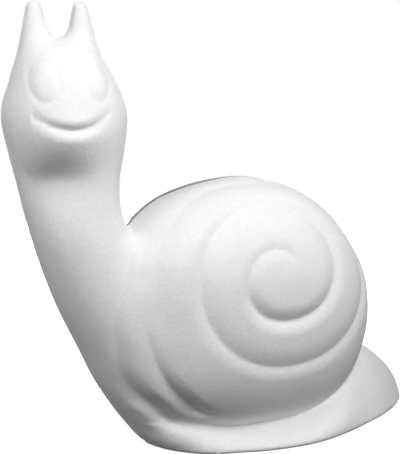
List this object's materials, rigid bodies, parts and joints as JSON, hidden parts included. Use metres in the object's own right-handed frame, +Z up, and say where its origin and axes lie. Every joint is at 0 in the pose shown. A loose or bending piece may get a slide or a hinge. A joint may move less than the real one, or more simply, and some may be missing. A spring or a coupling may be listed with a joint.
{
  "type": "snail figurine",
  "caption": "Free-standing foam snail with a smiling face, two horns and a spiral shell, moulded as two halves that meet on its middle plane.",
  "frame": {"origin": "on the ground, in the middle of the figure's box seen from above", "axes": "+X towards the tail, -X towards the head, -Y the side of the face, +Z up; the two halves meet on Y = 0"},
  "size_m": [0.1564, 0.0552, 0.15],
  "materials": {
    "bead_foam": "matte"
  },
  "bodies": {
    "root": {"front_half": "bead_foam", "back_half": "bead_foam"}
  },
  "joints": []
}
